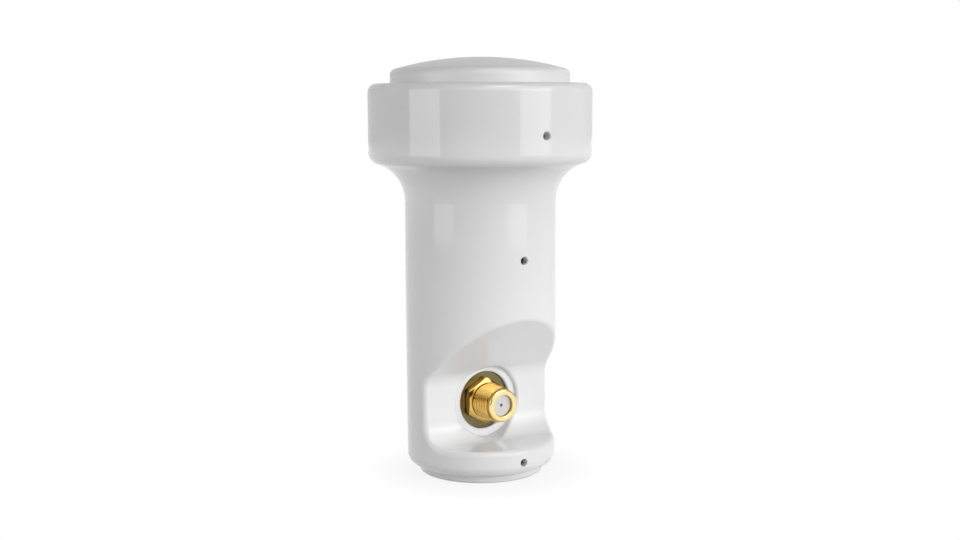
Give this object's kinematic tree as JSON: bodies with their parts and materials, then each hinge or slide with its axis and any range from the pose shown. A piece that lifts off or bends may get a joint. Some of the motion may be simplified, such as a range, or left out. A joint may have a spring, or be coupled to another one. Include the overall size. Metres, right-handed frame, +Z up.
{
  "type": "satellite lnb",
  "caption": "White satellite LNB with a domed feed cap on a wide round head, a plain clamp neck and a gold F socket in a scooped recess near its lower end.",
  "frame": {"origin": "middle of the end plug's flat base", "axes": "+Z runs up the feed axis to the domed cap, -Y is the way the cable connector faces, +X is to the right seen from the connector's side"},
  "size_m": [0.0588, 0.0588, 0.1098],
  "materials": {
    "white_housing": "gloss white injection-moulded plastic",
    "white_cap": "semi-gloss white injection-moulded plastic",
    "white_plug": "semi-gloss white injection-moulded plastic",
    "black_rubber": "moulded black rubber",
    "cast_aluminium": "as die-cast, matt grey",
    "board_laminate": "woven glass and fluoroplastic laminate",
    "zinc_steel": "zinc plated",
    "plain_brass": "turned",
    "resonator_ceramic": "fired and ground",
    "white_fluoroplastic": "machined white fluoroplastic",
    "chip_resin": "moulded black resin",
    "absorber_rubber": "iron-filled rubber sheet",
    "gold_plate": "gold-coloured plating on turned brass",
    "gold_nut": "gold-coloured plating on milled brass",
    "dull_washer": "stamped and dull plated",
    "socket_insulator": "moulded pale plastic",
    "contact_bronze": "formed spring bronze"
  },
  "bodies": {
    "root": {"housing_shell": "white_housing", "feed_cap": "white_cap", "cap_seal": "black_rubber", "end_plug": "white_plug", "feed_casting": "cast_aluminium", "circuit_board": "board_laminate", "shield_cover": "cast_aluminium", "cover_screws": "zinc_steel", "tuning_screws": "plain_brass", "low_band_resonator": "resonator_ceramic", "high_band_resonator": "resonator_ceramic", "back_probe": "plain_brass", "back_probe_bush": "white_fluoroplastic", "side_probe": "plain_brass", "side_probe_bush": "white_fluoroplastic", "isolation_pin": "zinc_steel", "amplifier_transistors": "chip_resin", "mixer_chip": "chip_resin", "voltage_regulator": "chip_resin", "absorber_pad": "absorber_rubber", "connector_body": "gold_plate", "connector_nut": "gold_nut", "connector_washer": "dull_washer", "connector_gasket": "black_rubber", "connector_insulator": "socket_insulator", "connector_contact": "contact_bronze"}
  },
  "joints": []
}
